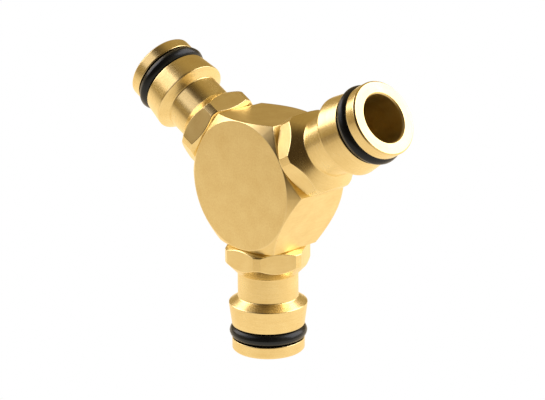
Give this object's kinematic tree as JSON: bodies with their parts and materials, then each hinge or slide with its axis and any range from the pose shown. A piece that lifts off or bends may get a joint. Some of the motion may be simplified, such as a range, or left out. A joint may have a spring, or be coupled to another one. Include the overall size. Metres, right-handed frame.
{
  "type": "three-way hose quick coupling",
  "caption": "Brass Y coupling: chamfered hexagonal hub with screwed-in quick-connect nipples, each with a hex collar, snap neck, ridge, O-ring and guide lip.",
  "frame": {"origin": "where the three port axes cross, which is also the centre of volume", "axes": "port axes lie in the XZ plane; the bottom nipple points along -Z, the other two 30 degrees above +X and -X; the hub's round faces look along -Y and +Y"},
  "size_m": [0.0752, 0.019, 0.0653],
  "materials": {
    "hub_brass": "satin, fine blasted grain on milled and turned faces",
    "nipple_brass": "fine turned, bright",
    "o_ring_rubber": "smooth, greased, glossy",
    "port_seal_rubber": "matt"
  },
  "bodies": {
    "hub_body": {"hub": "hub_brass"},
    "bottom_seal_ring": {"port_seal_bottom": "port_seal_rubber"},
    "bottom_nipple": {"nipple_bottom": "nipple_brass", "o_ring_bottom": "o_ring_rubber"},
    "left_seal_ring": {"port_seal_left": "port_seal_rubber"},
    "left_nipple": {"nipple_left": "nipple_brass", "o_ring_left": "o_ring_rubber"},
    "right_seal_ring": {"port_seal_right": "port_seal_rubber"},
    "right_nipple": {"nipple_right": "nipple_brass", "o_ring_right": "o_ring_rubber"}
  },
  "joints": [
    {"name": "bottom_thread_travel", "type": "slide", "parent": "hub_body", "child": "bottom_seal_ring", "axis": [0, 0, -1], "range_m": [0, 0.006]},
    {"name": "bottom_unscrew", "type": "hinge", "parent": "bottom_seal_ring", "child": "bottom_nipple", "pos_m": [0, 0, -0.0143], "axis": [0, 0, -1], "range_deg": [0, 2160]},
    {"name": "left_thread_travel", "type": "slide", "parent": "hub_body", "child": "left_seal_ring", "axis": [-0.866, 0, 0.5], "range_m": [0, 0.006]},
    {"name": "left_unscrew", "type": "hinge", "parent": "left_seal_ring", "child": "left_nipple", "pos_m": [-0.01238, 0, 0.00715], "axis": [-0.866, 0, 0.5], "range_deg": [0, 2160]},
    {"name": "right_thread_travel", "type": "slide", "parent": "hub_body", "child": "right_seal_ring", "axis": [0.866, 0, 0.5], "range_m": [0, 0.006]},
    {"name": "right_unscrew", "type": "hinge", "parent": "right_seal_ring", "child": "right_nipple", "pos_m": [0.01238, 0, 0.00715], "axis": [0.866, 0, 0.5], "range_deg": [0, 2160]}
  ],
  "couplings": [
    {"joint": "bottom_thread_travel", "follows": "bottom_unscrew", "m_per_rad": 0.00015915},
    {"joint": "left_thread_travel", "follows": "left_unscrew", "m_per_rad": 0.00015915},
    {"joint": "right_thread_travel", "follows": "right_unscrew", "m_per_rad": 0.00015915}
  ]
}
